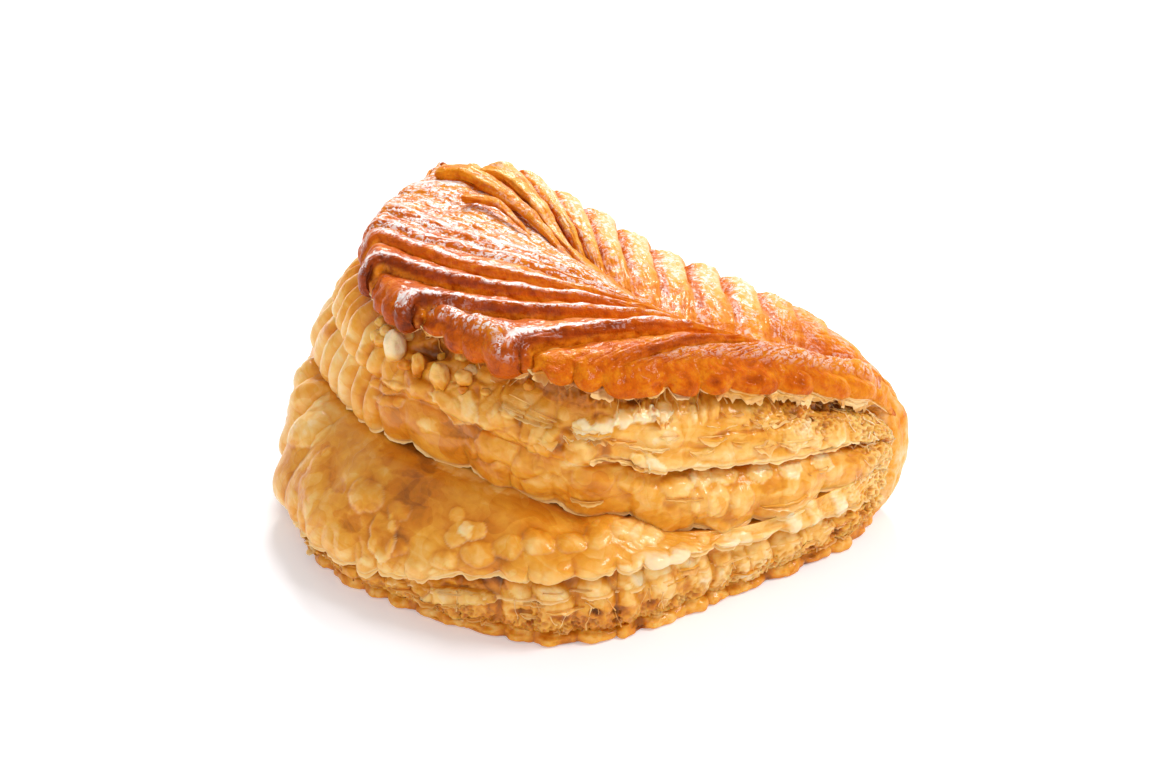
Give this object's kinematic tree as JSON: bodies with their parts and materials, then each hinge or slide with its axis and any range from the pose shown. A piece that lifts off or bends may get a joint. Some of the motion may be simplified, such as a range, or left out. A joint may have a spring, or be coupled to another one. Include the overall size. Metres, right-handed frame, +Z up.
{
  "type": "apple turnover",
  "caption": "Half-moon puff-pastry turnover with a leaf-scored glazed top, a folded back and an open layered rim; it rests on its flat base.",
  "frame": {"origin": "middle of the pastry's extent along X and Y, on the plane it rests on", "axes": "+X along the fold, +Y towards the fold, +Z up"},
  "size_m": [0.1302, 0.0996, 0.0597],
  "materials": {
    "crust": "egg-washed and baked, glossy on top and dry at the open layers"
  },
  "bodies": {
    "root": {"pastry": "crust"}
  },
  "joints": []
}
